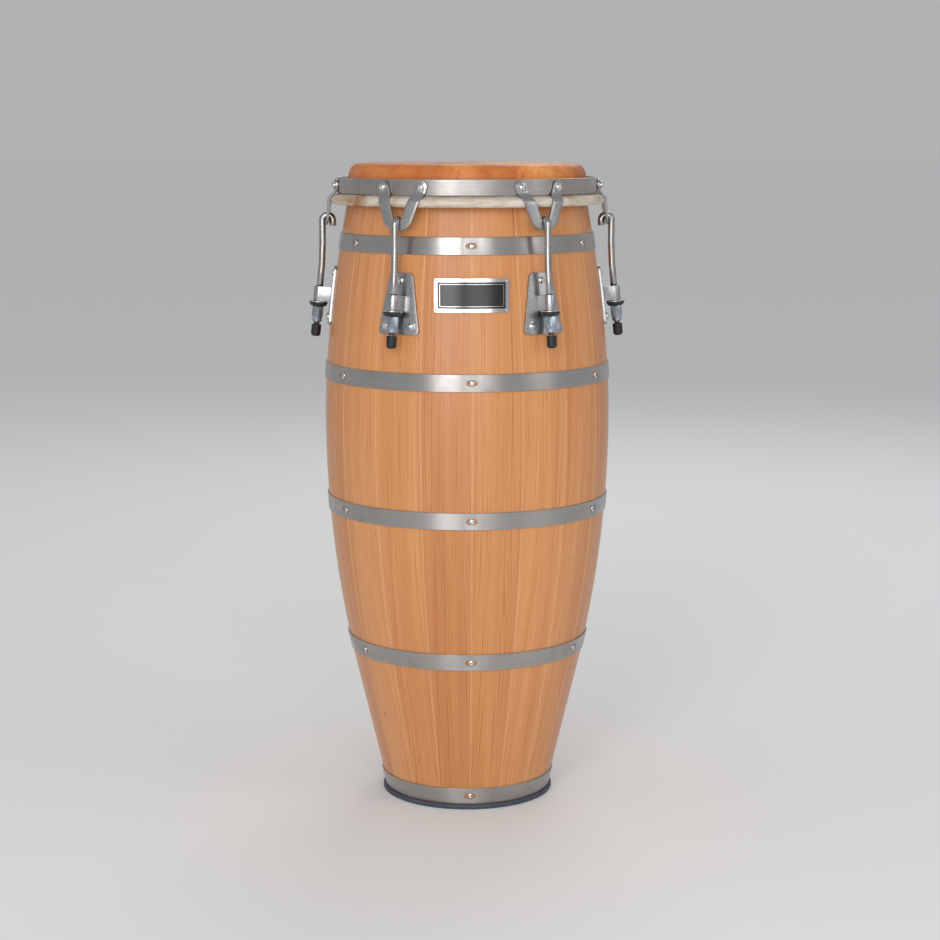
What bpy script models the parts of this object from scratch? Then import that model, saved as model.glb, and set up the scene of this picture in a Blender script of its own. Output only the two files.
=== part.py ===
"""Stave-built conga drum with a rawhide head and six side tuning lugs.

Lengths are in metres and +Z is up. The drum stands on z = 0 with its axis on the Z axis, and its
name plate faces -Y. Heights are measured from the floor and radii from the drum's axis.
"""

import math

import bmesh
import bpy
from mathutils import Matrix, Vector
from mathutils.geometry import interpolate_bezier

# Whole drum
HEAD_HEIGHT = 0.762          # floor to the playing surface
CLEARANCE = 0.0003           # gap between pieces that touch

# Shell of staves: straight from the floor to the knee, then bowed out to the belly and in to the rim
STAVE_COUNT = 18
STAVE_FACETS = 3             # flat strips across one stave
STAVE_STEPS = 12             # flat strips up the outside of a stave
STAVE_INNER_STEPS = 6        # flat strips up the inside
WALL = 0.014
FOOT_RADIUS = 0.0973         # outside of the shell, carried down to the floor
KNEE_HEIGHT = 0.150
KNEE_RADIUS = 0.1333
BELLY_HEIGHT = 0.460
BELLY_RADIUS = 0.1702
RIM_RADIUS = 0.1345
RIM_TAPER = 0.19             # narrowing per unit of height at the rim
RIM_ROUNDING = 0.007         # rounded bearing edge under the head
RIM_ROUNDING_STEPS = 3

# Rubber foot ring
FOOT_PAD = 0.0027            # rubber under the staves
FOOT_LIP_HEIGHT = 0.0058
FOOT_LIP = 0.0052            # rubber outside the staves
FOOT_ROUNDING = 0.0014

# Steel bands round the staves
BAND_HEIGHT = 0.020
BAND_THICKNESS = 0.0014
RIM_BAND_DROP = 0.0902       # head down to the middle of the band nearest to it
UPPER_BAND_DROP = 0.0535     # lower edge of the lug plates down to the next band
BELLY_BAND_DROP = 0.1585     # that band down to the next one
FOOT_BAND_RISE = 0.0102      # top of the foot ring up to the middle of the lowest band
LOWER_BAND_RISE = 0.1733     # lowest band up to the next one

# Rawhide head
SKIN_THICKNESS = 0.0022
SHOULDER_STANDOFF = 0.0065   # skin outside the rim's own radius
SHOULDER_WIDTH = 0.0128
SHOULDER_DROP = 0.017
SHOULDER_STEPS = 4
SKIRT_DROP = 0.0221          # head down to where the skin's shell part ends
TUNE_DOWN = 0.005            # travel of the crown as the head is tightened
TUNE_UP = 0.002              # travel of the crown as the head is let off

# Crown: hoop, flesh ring and the skin's collar round it
CROWN_SEGMENTS = 36
CROWN_DROP = 0.016           # head down to the hoop's upper edge
CROWN_HEIGHT = 0.0182
CROWN_THICKNESS = 0.0032
CROWN_GAP = 0.0171           # rim's radius to the inside of the hoop
RING_OUTSET = 0.0025         # outside of the hoop to the middle of the flesh ring
RING_DROP = 0.0078           # lower edge of the hoop to the middle of the flesh ring
RING_ROD = 0.0054            # diameter
RING_SIDES = 6
WRAP_STEPS = 6               # flat strips of the skin round the flesh ring
WRAP_START = math.radians(-115)
COLLAR_STEPS = 4             # flat strips of the skin from the shoulder to the ring
COLLAR_FLARE = 0.0012        # the collar starts outside the shoulder by this
TUCK_RISE = 0.0155           # skin's trimmed edge above the lower edge of the hoop

# V brackets that hang from the crown hoop
TUNER_COUNT = 6
BRACKET_THICKNESS = 0.0028
BRACKET_SPREAD = 0.050       # between the two bolts
BRACKET_REACH = 0.0474       # bolts down to the lowest edge
BOLT_RISE = 0.0092           # bolts above the lower edge of the hoop
ARM_WIDTH = 0.013
TAB_RADIUS = 0.007
BAR_HEIGHT = 0.006           # bar under the notch that the hook holds
NOTCH_BEND = 0.012           # radius of the bend between the arms, at its middle
BRACKET_FLARE = 0.002        # the lower edge stands out past the flesh ring by this

# Tuning hooks
HOOK_ROD = 0.008             # diameter
HOOK_TIP = 0.0065            # straight tip inside the bracket
HOOK_LEG = 0.027             # straight length below the bend, outside the bracket
HOOK_PLAY = 0.00045          # room between the hook and the bar on each side
HOOK_STEPS = 8
CAP_LENGTH = 0.0145
CAP_DIAMETER = 0.0115

# Lugs on the shell
LUG_DROP = 0.1536            # head down to the middle of the strap
LUG_STANDOFF = 0.017         # shell to the rod's axis
LUG_TOE = 0.031              # lean of the strap against the shell, in radians
STRAP_LENGTH = 0.0175
STRAP_BORE = 0.0094
STRAP_THICKNESS = 0.0020
STRAP_STEPS = 6
PLATE_THICKNESS = 0.0030
PLATE_ABOVE = 0.033          # strap's middle up to the plate's upper edge
PLATE_BELOW = 0.036
PLATE_TOP_WIDTH = 0.029
PLATE_BOTTOM_WIDTH = 0.053
PLATE_CORNER = 0.005
WASHER_DIAMETER = 0.022
WASHER_HEIGHT = 0.0060
WASHER_SIDES = 12
NUT_WIDTH = 0.013            # across the flats
NUT_HEIGHT = 0.0125
NUT_NOSE = 0.0060            # tapered end of the nut
NUT_SIDES = 6
NUT_TO_CAP = 0.003

# Name plate on the front
NAME_WIDTH = 0.086
NAME_HEIGHT = 0.038
NAME_THICKNESS = 0.0016
NAME_DROP = 0.145            # head down to the middle of the plate

# Worked out from the sizes above
RIM_HEIGHT = HEAD_HEIGHT - SKIN_THICKNESS - CLEARANCE
STAVE_BOTTOM = FOOT_PAD + CLEARANCE
FOOT_TAPER = (KNEE_RADIUS - FOOT_RADIUS) / KNEE_HEIGHT
SHELL_SEGMENTS = STAVE_COUNT * STAVE_FACETS
STAVE_ANGLE = math.tau / STAVE_COUNT
FRONT = -math.pi / 2
SMOOTH_ANGLE = math.radians(35)

CROWN_INNER = RIM_RADIUS + CROWN_GAP
CROWN_OUTER = CROWN_INNER + CROWN_THICKNESS
CROWN_TOP = HEAD_HEIGHT - CROWN_DROP
CROWN_BOTTOM = CROWN_TOP - CROWN_HEIGHT
RING_RADIUS = CROWN_OUTER + RING_OUTSET
RING_HEIGHT = CROWN_BOTTOM - RING_DROP
WRAP_RADIUS = RING_ROD / 2 + CLEARANCE + SKIN_THICKNESS

BOLT_HEIGHT = CROWN_BOTTOM + BOLT_RISE
BRACKET_BOTTOM = BOLT_HEIGHT - BRACKET_REACH
NOTCH_HEIGHT = BRACKET_BOTTOM + BAR_HEIGHT

LUG_HEIGHT = HEAD_HEIGHT - LUG_DROP


def eased(height, low, low_radius, low_slope, high, high_radius, high_slope):
    """Radius on the smooth curve between two heights, with a set slope at each."""
    span = high - low
    t = (height - low) / span
    ends = (2 * t**3 - 3 * t**2 + 1) * low_radius + (3 * t**2 - 2 * t**3) * high_radius
    slopes = (t**3 - 2 * t**2 + t) * low_slope + (t**3 - t**2) * high_slope
    return ends + slopes * span


def shell_radius(height):
    """Outside radius of the shell."""
    if height <= KNEE_HEIGHT:
        return FOOT_RADIUS + FOOT_TAPER * height
    if height <= BELLY_HEIGHT:
        return eased(height, KNEE_HEIGHT, KNEE_RADIUS, FOOT_TAPER, BELLY_HEIGHT, BELLY_RADIUS, 0)
    return eased(height, BELLY_HEIGHT, BELLY_RADIUS, 0, RIM_HEIGHT, RIM_RADIUS, -RIM_TAPER)


def shell_lean(height):
    """Angle between the shell's side and the upright, positive where the shell narrows upwards."""
    step = 0.001
    return math.atan((shell_radius(height - step) - shell_radius(height + step)) / (2 * step))


LUG_RADIUS = shell_radius(LUG_HEIGHT) + LUG_STANDOFF
LUG_LEAN = shell_lean(LUG_HEIGHT) - LUG_TOE
LUG_FRAME = Matrix.Translation((0, -LUG_RADIUS, LUG_HEIGHT)) @ Matrix.Rotation(-LUG_LEAN, 4, "X")


def evenly(start, end, steps):
    """Values from start to end, both included."""
    return [start + (end - start) * i / steps for i in range(steps + 1)]


def arc(centre, radii, start, end, steps):
    """Points of a circle's or an ellipse's arc round a (radius, height) centre."""
    angles = evenly(start, end, steps)
    return [(centre[0] + radii[0] * math.cos(a), centre[1] + radii[1] * math.sin(a)) for a in angles]


def is_clockwise(outline):
    """Whether an outline in the (radius, height) plane runs down its outer side."""
    following = outline[1:] + outline[:1]
    return sum(a[0] * b[1] - b[0] * a[1] for a, b in zip(outline, following)) < 0


def strip_outline(path, thickness):
    """Closed outline of a strip of even thickness whose middle follows a path."""
    points = [Vector(point) for point in path]
    left = []
    right = []
    for i, point in enumerate(points):
        behind = (point - points[i - 1]).normalized() if i > 0 else None
        ahead = (points[i + 1] - point).normalized() if i < len(points) - 1 else behind
        behind = behind or ahead
        along = (behind + ahead).normalized()
        offset = Vector((-along.y, along.x)) * (thickness / 2 / along.dot(ahead))
        left.append(tuple(point + offset))
        right.append(tuple(point - offset))
    return left + right[::-1]


def new_collection(name):
    """A collection in the scene."""
    collection = bpy.data.collections.new(name)
    bpy.context.scene.collection.children.link(collection)
    return collection


def new_material(name, colour, roughness, metallic=0.0):
    """A Principled material."""
    material = bpy.data.materials.new(name)
    material.use_nodes = True
    shader = material.node_tree.nodes["Principled BSDF"]
    shader.inputs["Base Color"].default_value = (*colour, 1)
    shader.inputs["Roughness"].default_value = roughness
    shader.inputs["Metallic"].default_value = metallic
    return material


def add_piece(name, data, material, parent, turn=0.0):
    """An object for one piece, turned about its parent's upright axis."""
    if not data.materials:
        data.materials.append(material)
    piece = bpy.data.objects.new(name, data)
    parts.objects.link(piece)
    piece.parent = parent
    piece.rotation_euler.z = turn
    return piece


def add_empty(name, location=(0, 0, 0), rotation=(0, 0, 0)):
    """An empty that carries the pieces of one moving group."""
    empty = bpy.data.objects.new(name, None)
    empty.location = location
    empty.rotation_euler = rotation
    empty.empty_display_size = 0.02
    parts.objects.link(empty)
    return empty


def settle(helper):
    """The helper object's finished mesh, smooth except at its corners; the helper is removed."""
    bpy.context.view_layer.update()
    evaluated = helper.evaluated_get(bpy.context.evaluated_depsgraph_get())
    mesh = bpy.data.meshes.new_from_object(evaluated)
    mesh.name = helper.name
    mesh.shade_smooth()
    mesh.set_sharp_from_angle(angle=SMOOTH_ANGLE)
    bpy.data.objects.remove(helper)
    return mesh


def new_helper(name, data):
    """An object used only to shape a mesh."""
    helper = bpy.data.objects.new(name, data)
    helper.hide_render = True
    helper.display_type = "WIRE"
    cutters.objects.link(helper)
    return helper


def turned_mesh(name, outline, steps, closed=True):
    """Mesh turned about the Z axis from an outline of (radius, height) points."""
    if not is_clockwise(outline):
        outline = outline[::-1]
    count = len(outline)
    edges = [(i, (i + 1) % count) for i in range(count if closed else count - 1)]
    mesh = bpy.data.meshes.new(name)
    mesh.from_pydata([(radius, 0, height) for radius, height in outline], edges, [])
    helper = new_helper(name, mesh)
    screw = helper.modifiers.new("turn", "SCREW")
    screw.axis = "Z"
    screw.steps = steps
    screw.render_steps = steps
    screw.use_merge_vertices = True
    screw.merge_threshold = 0.00001
    return settle(helper)


def wrapped_mesh(name, columns, rows, place, thickness, corner=0.0):
    """Plate of even thickness from a grid whose vertices place(u, v) puts on a curved surface."""
    bm = bmesh.new()
    bmesh.ops.create_grid(bm, x_segments=columns, y_segments=rows, size=1)
    corners = [v for v in bm.verts if len(v.link_edges) == 2]
    for vertex in bm.verts:
        vertex.co = place(vertex.co.x, vertex.co.y)
    if corner:
        bmesh.ops.bevel(bm, geom=corners, offset=corner, segments=3, affect="VERTICES", profile=0.5)
    mesh = bpy.data.meshes.new(name)
    bm.to_mesh(mesh)
    bm.free()
    helper = new_helper(name, mesh)
    solidify = helper.modifiers.new("thickness", "SOLIDIFY")
    solidify.thickness = thickness
    solidify.offset = 1
    solidify.use_even_offset = True
    return helper


def on_shell(across, height):
    """Point just off the front of the shell, at a distance across measured round it."""
    radius = shell_radius(height) + CLEARANCE
    angle = across / radius
    return Vector((radius * math.sin(angle), -radius * math.cos(angle), height))


def stave_outline():
    """Closed outline of a stave's long section, up the outside and down the inside."""
    rounding_foot = RIM_HEIGHT - RIM_ROUNDING
    outside = [(shell_radius(z), z) for z in evenly(STAVE_BOTTOM, rounding_foot, STAVE_STEPS)]
    centre = (RIM_RADIUS - RIM_ROUNDING, rounding_foot)
    radii = (RIM_ROUNDING, RIM_ROUNDING)
    rounding = arc(centre, radii, 0, math.pi / 2, RIM_ROUNDING_STEPS)
    inside_heights = evenly(RIM_HEIGHT, STAVE_BOTTOM, STAVE_INNER_STEPS)
    inside = [(shell_radius(z) - WALL, z) for z in inside_heights]
    return outside + rounding[1:] + inside


def build_staves(parent, tones):
    """Eighteen bowed staves, each a slice of the turned shell."""
    bm = bmesh.new()
    section = bm.faces.new([bm.verts.new((0, -radius, z)) for radius, z in stave_outline()])
    bmesh.ops.spin(
        bm,
        geom=[section],
        cent=(0, 0, 0),
        axis=(0, 0, 1),
        angle=STAVE_ANGLE,
        steps=STAVE_FACETS,
        use_duplicate=False,
    )
    bmesh.ops.recalc_face_normals(bm, faces=bm.faces)
    sides = [face for face in bm.faces if abs(face.normal.z) < 0.001 and len(face.verts) > 4]
    for side in sides:
        bmesh.ops.translate(bm, verts=side.verts, vec=side.normal * (-CLEARANCE / 2))
    mesh = bpy.data.meshes.new("stave")
    bm.to_mesh(mesh)
    bm.free()
    mesh.shade_smooth()
    mesh.set_sharp_from_angle(angle=SMOOTH_ANGLE)
    for i in range(STAVE_COUNT):
        stave = mesh.copy()
        add_piece(f"stave_{i + 1:02d}", stave, tones[i % len(tones)], parent, i * STAVE_ANGLE)


def build_foot_ring(parent, rubber):
    """Rubber ring under the staves, with a low lip outside them."""
    inner = shell_radius(STAVE_BOTTOM) - WALL
    outer = shell_radius(STAVE_BOTTOM) + CLEARANCE + FOOT_LIP
    outline = [
        (shell_radius(FOOT_LIP_HEIGHT) + CLEARANCE, FOOT_LIP_HEIGHT),
        (outer - FOOT_ROUNDING, FOOT_LIP_HEIGHT),
        (outer, FOOT_LIP_HEIGHT - FOOT_ROUNDING),
        (outer, FOOT_ROUNDING),
        (outer - FOOT_ROUNDING, 0),
        (inner, 0),
        (inner, FOOT_PAD),
        (shell_radius(FOOT_PAD) + CLEARANCE, FOOT_PAD),
    ]
    mesh = turned_mesh("foot_ring", outline, SHELL_SEGMENTS)
    add_piece("foot_ring", mesh, rubber, parent, FRONT)


def build_bands(parent, steel):
    """Five flat steel bands that hold the staves together."""
    upper = LUG_HEIGHT - PLATE_BELOW - UPPER_BAND_DROP
    foot = FOOT_LIP_HEIGHT + FOOT_BAND_RISE + CLEARANCE
    middles = {
        "band_rim": HEAD_HEIGHT - RIM_BAND_DROP,
        "band_upper": upper,
        "band_belly": upper - BELLY_BAND_DROP,
        "band_lower": foot + LOWER_BAND_RISE,
        "band_foot": foot,
    }
    for name, middle in middles.items():
        heights = evenly(middle + BAND_HEIGHT / 2, middle - BAND_HEIGHT / 2, 2)
        inside = [(shell_radius(z) + CLEARANCE, z) for z in heights]
        outline = [(radius + BAND_THICKNESS, z) for radius, z in inside] + inside[::-1]
        add_piece(name, turned_mesh(name, outline, SHELL_SEGMENTS), steel, parent, FRONT)


def build_head_skin(parent, rawhide):
    """Playing surface and rounded shoulder of the skin, down to where it leaves the rim."""
    wall = RIM_RADIUS + SHOULDER_STANDOFF
    centre = (wall - SHOULDER_WIDTH, HEAD_HEIGHT - SHOULDER_DROP)
    skirt_end = HEAD_HEIGHT - SKIRT_DROP
    outline = [(0, HEAD_HEIGHT)]
    outline += arc(centre, (SHOULDER_WIDTH, SHOULDER_DROP), math.pi / 2, 0, SHOULDER_STEPS)
    outline += [(wall, skirt_end), (wall - SKIN_THICKNESS, skirt_end)]
    radii = (SHOULDER_WIDTH - SKIN_THICKNESS, SHOULDER_DROP - SKIN_THICKNESS)
    outline += arc(centre, radii, 0, math.pi / 2, SHOULDER_STEPS)
    outline += [(0, HEAD_HEIGHT - SKIN_THICKNESS)]
    mesh = turned_mesh("head_skin", outline, CROWN_SEGMENTS, closed=False)
    add_piece("head_skin", mesh, rawhide, parent, FRONT)


def collar_path():
    """Middle of the skin from below the shoulder, round the flesh ring and up inside the hoop."""
    ring = Vector((RING_RADIUS, RING_HEIGHT))
    radius = WRAP_RADIUS - SKIN_THICKNESS / 2
    tuck = Vector((CROWN_INNER, CROWN_BOTTOM)) - Vector((1, 1)) * (CLEARANCE + SKIN_THICKNESS / 2)
    reach = tuck - ring
    wrap_end = math.atan2(reach.y, reach.x) - math.acos(radius / reach.length)
    wrap = [Vector(point) for point in arc(ring, (radius, radius), WRAP_START, wrap_end, WRAP_STEPS)]
    outset = SHOULDER_STANDOFF + COLLAR_FLARE - SKIN_THICKNESS / 2
    start = Vector((RIM_RADIUS + outset, HEAD_HEIGHT - SKIRT_DROP - TUNE_UP - CLEARANCE))
    pull = (wrap[0].x - start.x) / 2
    heading = Vector((-math.sin(WRAP_START), math.cos(WRAP_START)))
    handles = (start - Vector((0, pull)), wrap[0] - heading * pull)
    run = interpolate_bezier(start, *handles, wrap[0], COLLAR_STEPS + 1)
    top = Vector((tuck.x, CROWN_BOTTOM + TUCK_RISE))
    return [point.to_2d() for point in run[:-1]] + wrap + [tuck, top]


def build_crown(parent, steel, rawhide):
    """Crown hoop, the flesh ring under it and the skin's collar wrapped round the ring."""
    hoop = [
        (CROWN_OUTER, CROWN_TOP),
        (CROWN_OUTER, CROWN_BOTTOM),
        (CROWN_INNER, CROWN_BOTTOM),
        (CROWN_INNER, CROWN_TOP),
    ]
    add_piece("crown_hoop", turned_mesh("crown_hoop", hoop, CROWN_SEGMENTS), steel, parent, FRONT)
    rod = (RING_ROD / 2, RING_ROD / 2)
    ring = arc((RING_RADIUS, RING_HEIGHT), rod, 0, math.tau, RING_SIDES)[:-1]
    add_piece("flesh_ring", turned_mesh("flesh_ring", ring, CROWN_SEGMENTS), steel, parent, FRONT)
    collar = strip_outline(collar_path(), SKIN_THICKNESS)
    mesh = turned_mesh("skin_collar", collar, CROWN_SEGMENTS)
    add_piece("skin_collar", mesh, rawhide, parent, FRONT)


def bracket_face(height):
    """Radius of the bracket's inner face: flat on the hoop, folded out round the flesh ring."""
    tab = CROWN_OUTER + CLEARANCE
    clear = WRAP_RADIUS + CLEARANCE
    outer = RING_RADIUS + clear
    fold_low = RING_HEIGHT + clear * math.tan(math.pi / 8)
    fold_high = fold_low + outer - tab
    if height >= fold_high:
        return tab
    if height >= fold_low:
        return outer - (height - fold_low)
    return outer + BRACKET_FLARE * (fold_low - height) / (fold_low - BRACKET_BOTTOM)


def bracket_edges():
    """Outer and inner edge of the bracket's right half, from its bar up to the end of the tab."""
    centre = Vector((0, BRACKET_BOTTOM + BAR_HEIGHT / 2 + NOTCH_BEND))
    bolt = Vector((BRACKET_SPREAD / 2, BOLT_HEIGHT))
    reach = bolt - centre
    lean = math.atan2(reach.x, reach.y) - math.asin(NOTCH_BEND / reach.length)
    outer = []
    inner = []
    for share in evenly(0, 1, 3):
        angle = share * (math.pi / 2 - lean)
        half = (BAR_HEIGHT + (ARM_WIDTH - BAR_HEIGHT) * share) / 2
        spoke = Vector((math.sin(angle), -math.cos(angle)))
        outer.append(centre + spoke * (NOTCH_BEND + half))
        inner.append(centre + spoke * (NOTCH_BEND - half))
    clear = WRAP_RADIUS + CLEARANCE
    fold_low = RING_HEIGHT + clear * math.tan(math.pi / 8)
    fold_high = fold_low + RING_RADIUS + clear - CROWN_OUTER - CLEARANCE
    half = ARM_WIDTH / 2 / math.cos(lean)
    for height in (fold_low, fold_high):
        middle = bolt.x - (bolt.y - height) * math.tan(lean)
        outer.append(Vector((middle + half, height)))
        inner.append(Vector((middle - half, height)))
    for angle in evenly(0, math.radians(80), 3):
        half = TAB_RADIUS * math.cos(angle)
        height = bolt.y + TAB_RADIUS * math.sin(angle)
        outer.append(Vector((bolt.x + half, height)))
        inner.append(Vector((bolt.x - half, height)))
    return outer, inner


def build_brackets(parent, steel):
    """Six V brackets bolted to the crown hoop."""
    outer, inner = bracket_edges()
    last = len(outer) - 1

    def place(u, v):
        section = round(abs(u) * last)
        point = (outer if v < 0 else inner)[section]
        radius = bracket_face(point.y)
        angle = math.copysign(point.x, u) / radius
        return Vector((radius * math.sin(angle), -radius * math.cos(angle), point.y))

    mesh = settle(wrapped_mesh("bracket", 2 * last, 1, place, BRACKET_THICKNESS))
    for i in range(TUNER_COUNT):
        add_piece(f"bracket_{i + 1}", mesh, steel, parent, tuner_azimuth(i))


def tuner_azimuth(index):
    """Angle of a tuner round the drum, from the front and anticlockwise seen from above."""
    return (index + 0.5) * math.tau / TUNER_COUNT


def to_lug(radius, height):
    """A point of the front radial plane, seen from the lug's own frame."""
    return LUG_FRAME.inverted() @ Vector((0, -radius, height))


def rod_end():
    """Height of the rod's lower end in the lug's frame, where the rubber cap begins."""
    return -(STRAP_LENGTH / 2 + WASHER_HEIGHT + NUT_HEIGHT + NUT_NOSE + 2 * CLEARANCE + NUT_TO_CAP)


def hook_points():
    """Middle of the hook's rod in the lug's frame, from the tip to the end under the nut."""
    bar_face = bracket_face((BRACKET_BOTTOM + NOTCH_HEIGHT) / 2)
    tip_room = HOOK_PLAY + TUNE_DOWN * math.tan(LUG_LEAN)
    leg_room = HOOK_PLAY + TUNE_UP * math.tan(LUG_LEAN)
    inner_radius = (BRACKET_THICKNESS + tip_room + leg_room) / 2
    middle = bar_face + BRACKET_THICKNESS + leg_room - inner_radius
    bend = inner_radius + HOOK_ROD / 2
    dip = math.sqrt(inner_radius**2 - (inner_radius - HOOK_PLAY) ** 2)
    bend_height = NOTCH_HEIGHT + 2 * CLEARANCE - dip
    over = arc((middle, bend_height), (bend, bend), math.pi, 0, HOOK_STEPS)
    path = [(middle - bend, bend_height - HOOK_TIP)] + over
    path.append((middle + bend, bend_height - HOOK_LEG))
    points = [to_lug(radius, height) for radius, height in path]
    points.append(Vector((0, 0, STRAP_LENGTH / 2 + HOOK_LEG)))
    points.append(Vector((0, 0, rod_end())))
    return points


def build_hooks(axes, steel):
    """Six J hooks, each with a rubber cap pushed on its threaded end."""
    curve = bpy.data.curves.new("tuning_hook", "CURVE")
    curve.dimensions = "3D"
    curve.bevel_depth = HOOK_ROD / 2
    curve.bevel_resolution = 2
    curve.use_fill_caps = True
    cap = CAP_DIAMETER / HOOK_ROD
    end = rod_end()
    points = [(point, 1.0) for point in hook_points()]
    points.append((Vector((0, 0, end - CLEARANCE)), cap))
    points.append((Vector((0, 0, end - CAP_LENGTH * 0.85)), cap))
    points.append((Vector((0, 0, end - CAP_LENGTH)), cap * 0.65))
    spline = curve.splines.new("POLY")
    spline.points.add(len(points) - 1)
    for target, (point, radius) in zip(spline.points, points):
        target.co = (*point, 1)
        target.radius = radius
    for i, axis in enumerate(axes):
        add_piece(f"tuning_hook_{i + 1}", curve, steel, axis)


def build_nuts(axes, zinc):
    """Six hexagonal tuning nuts with tapered noses, under the washers."""
    corner = 1 / math.cos(math.pi / NUT_SIDES)
    top = -(STRAP_LENGTH / 2 + WASHER_HEIGHT + 2 * CLEARANCE)
    bore = (HOOK_ROD / 2 + CLEARANCE) * corner
    nose = bore + (NUT_WIDTH / 2 * corner - bore) * 0.4
    outline = [
        (NUT_WIDTH / 2 * corner, top),
        (NUT_WIDTH / 2 * corner, top - NUT_HEIGHT),
        (nose, top - NUT_HEIGHT - NUT_NOSE),
        (bore, top - NUT_HEIGHT - NUT_NOSE),
        (bore, top),
    ]
    mesh = turned_mesh("tuning_nut", outline, NUT_SIDES)
    for i, axis in enumerate(axes):
        add_piece(f"tuning_nut_{i + 1}", mesh, zinc, axis)


def build_washers(axes, black):
    """Six thick washers between the straps and the nuts."""
    corner = 1 / math.cos(math.pi / WASHER_SIDES)
    top = -(STRAP_LENGTH / 2 + CLEARANCE)
    outer = WASHER_DIAMETER / 2
    bore = (HOOK_ROD / 2 + CLEARANCE) * corner
    outline = [
        (outer, top),
        (outer, top - WASHER_HEIGHT * 0.4),
        (outer * 0.82, top - WASHER_HEIGHT),
        (bore, top - WASHER_HEIGHT),
        (bore, top),
    ]
    mesh = turned_mesh("lug_washer", outline, WASHER_SIDES)
    for i, axis in enumerate(axes):
        add_piece(f"lug_washer_{i + 1}", mesh, black, axis)


def strap_helper():
    """U strap that holds the rod off the plate, its legs ending inside the plate's thickness."""
    bore = STRAP_BORE / 2
    outer = bore + STRAP_THICKNESS
    depth = (LUG_STANDOFF - CLEARANCE - PLATE_THICKNESS / 2) * math.cos(LUG_LEAN)
    outline = [(-outer, depth)]
    outline += arc((0, 0), (outer, outer), math.pi, math.tau, STRAP_STEPS)
    outline += [(outer, depth), (bore, depth)]
    outline += arc((0, 0), (bore, bore), math.tau, math.pi, STRAP_STEPS)
    outline += [(-bore, depth)]
    curve = bpy.data.curves.new("strap", "CURVE")
    curve.dimensions = "2D"
    curve.fill_mode = "BOTH"
    curve.extrude = STRAP_LENGTH / 2
    spline = curve.splines.new("POLY")
    spline.points.add(len(outline) - 1)
    for target, (x, y) in zip(spline.points, outline):
        target.co = (x, y, 0, 1)
    spline.use_cyclic_u = True
    mesh = settle(new_helper("strap", curve))
    bm = bmesh.new()
    bm.from_mesh(mesh)
    bmesh.ops.remove_doubles(bm, verts=bm.verts, dist=0.00001)
    bmesh.ops.recalc_face_normals(bm, faces=bm.faces)
    bm.transform(LUG_FRAME)
    bm.to_mesh(mesh)
    bm.free()
    return new_helper("strap", mesh)


def build_lugs(parent, steel):
    """Six lugs: a tapered plate curved to the shell, joined to the strap that holds the rod."""

    def place(u, v):
        height = LUG_HEIGHT + (PLATE_ABOVE - PLATE_BELOW) / 2 + v * (PLATE_ABOVE + PLATE_BELOW) / 2
        width = (PLATE_TOP_WIDTH + PLATE_BOTTOM_WIDTH + v * (PLATE_TOP_WIDTH - PLATE_BOTTOM_WIDTH)) / 2
        return on_shell(u * width / 2, height)

    plate = wrapped_mesh("lug", 4, 3, place, PLATE_THICKNESS, PLATE_CORNER)
    strap = strap_helper()
    union = plate.modifiers.new("strap", "BOOLEAN")
    union.operation = "UNION"
    union.object = strap
    mesh = settle(plate)
    bpy.data.objects.remove(strap)
    for i in range(TUNER_COUNT):
        add_piece(f"lug_{i + 1}", mesh, steel, parent, tuner_azimuth(i))


def build_name_plate(parent, steel):
    """Curved plate on the front of the shell."""

    def place(u, v):
        return on_shell(u * NAME_WIDTH / 2, HEAD_HEIGHT - NAME_DROP + v * NAME_HEIGHT / 2)

    mesh = settle(wrapped_mesh("name_plate", 8, 2, place, NAME_THICKNESS))
    add_piece("name_plate", mesh, steel, parent)


for leftover in list(bpy.data.objects):
    bpy.data.objects.remove(leftover)
parts = new_collection("conga")
cutters = new_collection("conga_cutters")

wood_tones = [
    new_material("stave_light", (0.62, 0.36, 0.17), 0.42),
    new_material("stave_middle", (0.57, 0.32, 0.145), 0.42),
    new_material("stave_dark", (0.52, 0.285, 0.125), 0.42),
]
band_steel = new_material("band_steel", (0.62, 0.61, 0.60), 0.22, 1.0)
fitting_steel = new_material("fitting_steel", (0.66, 0.65, 0.64), 0.28, 1.0)
hook_steel = new_material("hook_steel", (0.60, 0.59, 0.58), 0.25, 1.0)
zinc = new_material("zinc", (0.60, 0.64, 0.70), 0.35, 1.0)
black_rubber = new_material("black_rubber", (0.02, 0.02, 0.022), 0.6)
foot_rubber = new_material("foot_rubber", (0.05, 0.06, 0.075), 0.7)
rawhide_head = new_material("rawhide_head", (0.50, 0.20, 0.055), 0.45)
rawhide_collar = new_material("rawhide_collar", (0.55, 0.47, 0.38), 0.6)
plate_steel = new_material("plate_steel", (0.70, 0.70, 0.70), 0.2, 1.0)

shell = add_empty("shell")
crown = add_empty("crown", (0, 0, 0))
tuner_axes = [
    add_empty(
        f"tuner_axis_{i + 1}",
        Matrix.Rotation(tuner_azimuth(i), 4, "Z") @ Vector((0, -LUG_RADIUS, LUG_HEIGHT)),
        (-LUG_LEAN, 0, tuner_azimuth(i)),
    )
    for i in range(TUNER_COUNT)
]

build_staves(shell, wood_tones)
build_foot_ring(shell, foot_rubber)
build_bands(shell, band_steel)
build_head_skin(shell, rawhide_head)
build_crown(crown, fitting_steel, rawhide_collar)
build_brackets(crown, fitting_steel)
build_hooks(tuner_axes, hook_steel)
build_nuts(tuner_axes, zinc)
build_washers(tuner_axes, black_rubber)
build_lugs(shell, fitting_steel)
build_name_plate(shell, plate_steel)
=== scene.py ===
"""Looks of a stave-built conga drum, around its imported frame. Lengths are in metres, +Z is up."""

import math
import random

import bmesh
import bpy
from mathutils import Matrix, Vector
from mathutils.geometry import interpolate_bezier


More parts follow.
